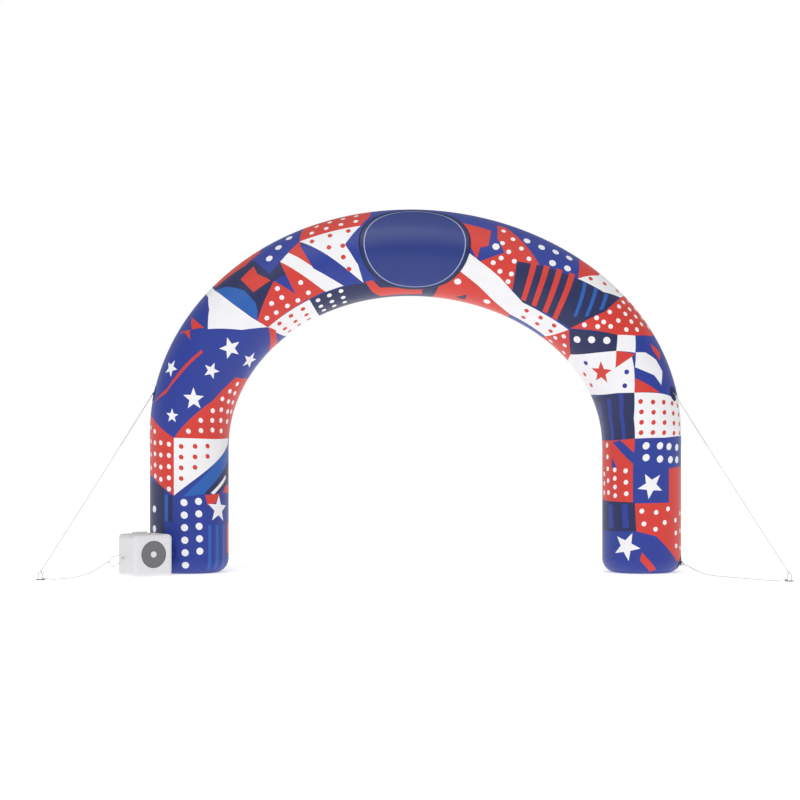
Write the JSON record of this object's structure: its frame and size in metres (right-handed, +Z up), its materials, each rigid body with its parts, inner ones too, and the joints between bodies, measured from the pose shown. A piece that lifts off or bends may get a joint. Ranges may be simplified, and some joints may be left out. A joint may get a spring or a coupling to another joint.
{
  "type": "inflatable arch with blower and guy ropes",
  "caption": "Printed inflatable tube arch on two legs, with a small blower, guy ropes, ground lines and ground anchors.",
  "frame": {"origin": "on the ground, under the middle of the box that holds the arch and its blower, without the ropes and anchors", "axes": "+X across the arch from the blower's leg to the other leg, +Y through the archway away from the side that the blower stands on, +Z up"},
  "size_m": [6.205, 1.517, 3.1177],
  "materials": {
    "printed_cloth": "smooth coated polyester printed with a red, white and blue patchwork",
    "panel_cloth": "smooth coated polyester, royal blue",
    "tie_webbing": "woven webbing",
    "sleeve_cloth": "gathered coated polyester",
    "rope": "braided cord",
    "zinc_wire": "zinc plated",
    "anchor_plate": "dark powder coat",
    "blower_shell": "satin moulded plastic",
    "blower_grille": "perforated grey plastic"
  },
  "bodies": {
    "root": {"anchor_hoop_left": "zinc_wire", "anchor_hoop_right": "zinc_wire", "anchor_plate_left": "anchor_plate", "anchor_plate_right": "anchor_plate", "arch_tube": "printed_cloth", "blower_grip": "blower_shell", "blower_housing": "blower_shell", "crown_panel": "panel_cloth", "eye_base": "blower_shell", "eye_loop": "rope", "eye_ring": "zinc_wire", "foot_tie_patch": "tie_webbing", "foot_tie_ring": "zinc_wire", "foot_tie_tab": "tie_webbing", "ground_line_left": "rope", "ground_line_right": "rope", "guy_knot_low_left": "rope", "guy_knot_low_right": "rope", "guy_knot_top_left": "rope", "guy_knot_top_right": "rope", "guy_rope_left": "rope", "guy_rope_right": "rope", "guy_tie_left_patch": "tie_webbing", "guy_tie_left_ring": "zinc_wire", "guy_tie_left_tab": "tie_webbing", "guy_tie_right_patch": "tie_webbing", "guy_tie_right_ring": "zinc_wire", "guy_tie_right_tab": "tie_webbing", "inflation_sleeve": "sleeve_cloth", "intake_grille": "blower_grille", "intake_hub": "blower_shell", "line_knot_anchor_left": "rope", "line_knot_anchor_right": "rope", "line_knot_left": "rope", "line_knot_right": "rope", "outlet_collar": "blower_shell"}
  },
  "joints": []
}
